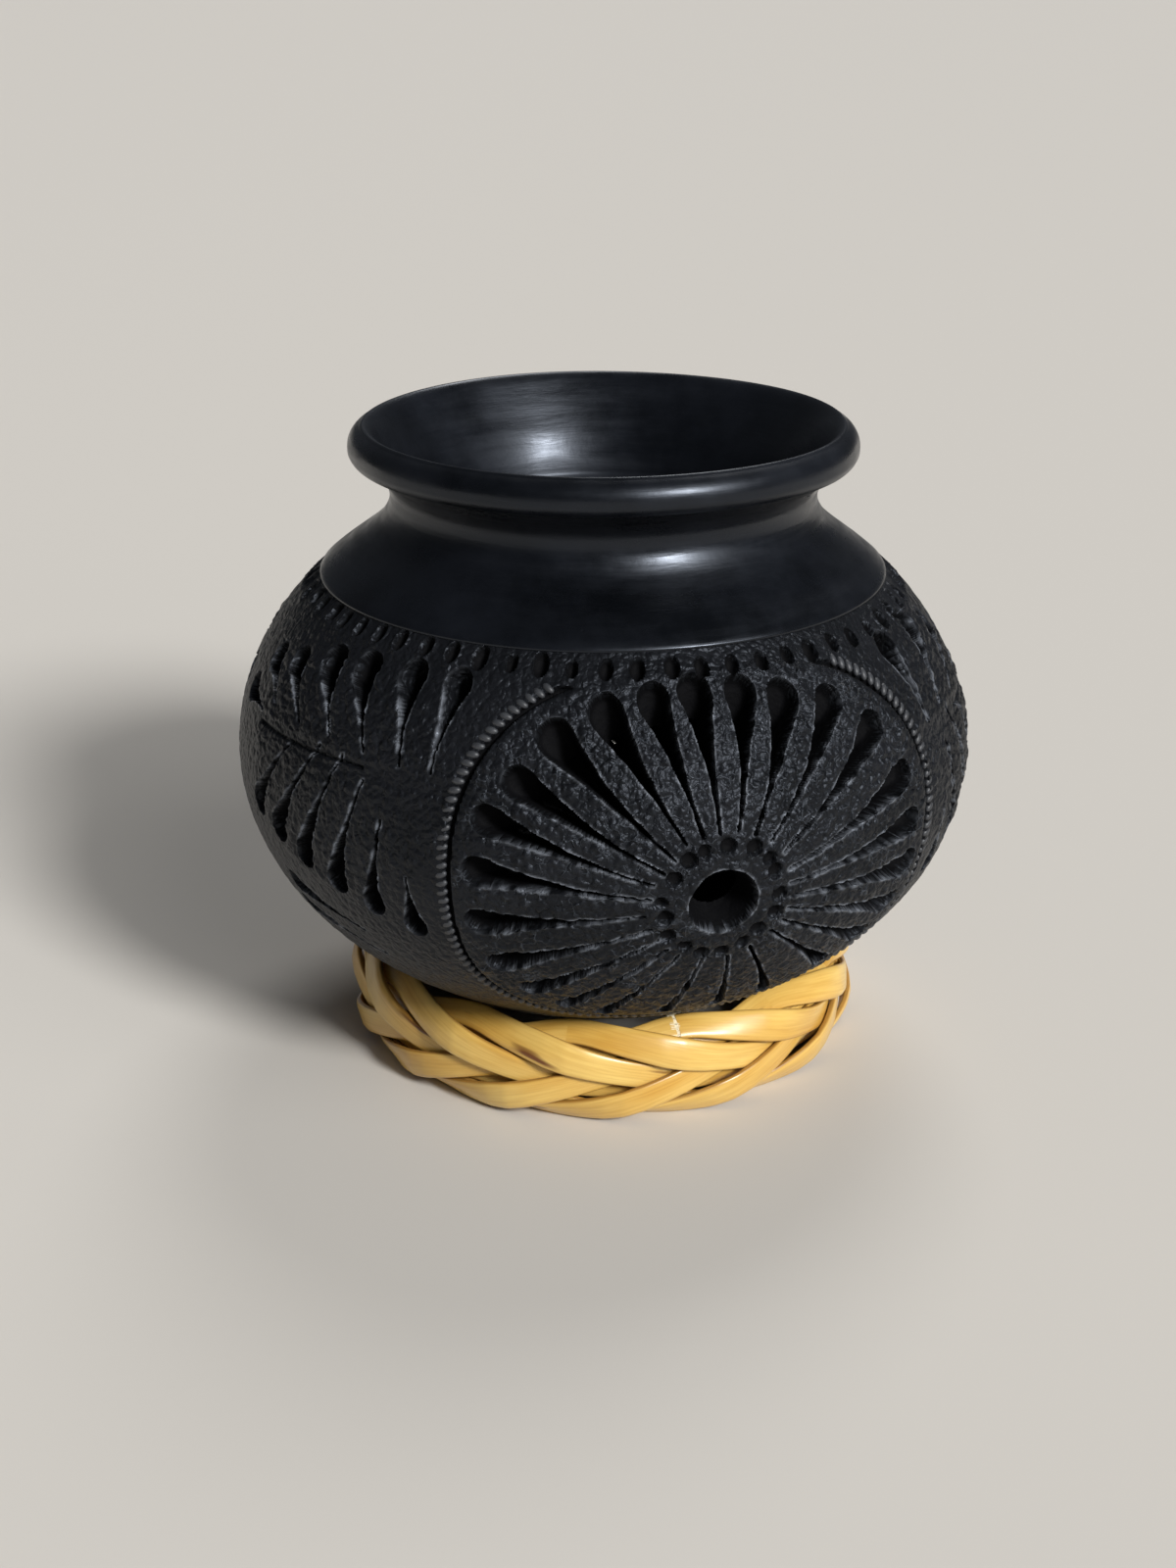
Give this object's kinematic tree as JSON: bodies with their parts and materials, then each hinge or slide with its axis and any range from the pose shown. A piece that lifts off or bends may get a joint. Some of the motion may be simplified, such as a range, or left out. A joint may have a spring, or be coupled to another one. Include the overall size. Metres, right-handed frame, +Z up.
{
  "type": "blackware vase",
  "caption": "Round-bellied black clay vase with a carved and pierced belly, a short neck and a rolled lip, sitting loose in a plaited cane ring stand.",
  "frame": {"origin": "centre of the object's footprint, on the table plane under the cane ring", "axes": "+Z up along the pot's axis; -Y faces the viewer of the picture, so the carved flower's heart lies 16.8 degrees round from -Y towards +X"},
  "size_m": [0.12, 0.12, 0.104],
  "materials": {
    "black_fired_clay": "smoke-fired black, burnished glossy on lip and shoulder, matt where carved",
    "golden_cane": "split cane, smooth and glossy on its skin side"
  },
  "bodies": {
    "ring_stand": {"cane_strip_1": "golden_cane", "cane_strip_2": "golden_cane", "cane_strip_3": "golden_cane", "cane_strip_4": "golden_cane", "cane_strip_5": "golden_cane", "cane_strip_6": "golden_cane", "cane_strip_7": "golden_cane"},
    "vase": {"vase_body": "black_fired_clay"}
  },
  "joints": [
    {"name": "vase_lift", "type": "slide", "parent": "ring_stand", "child": "vase", "axis": [0, 0, 1], "range_m": [0, 0.06]}
  ]
}
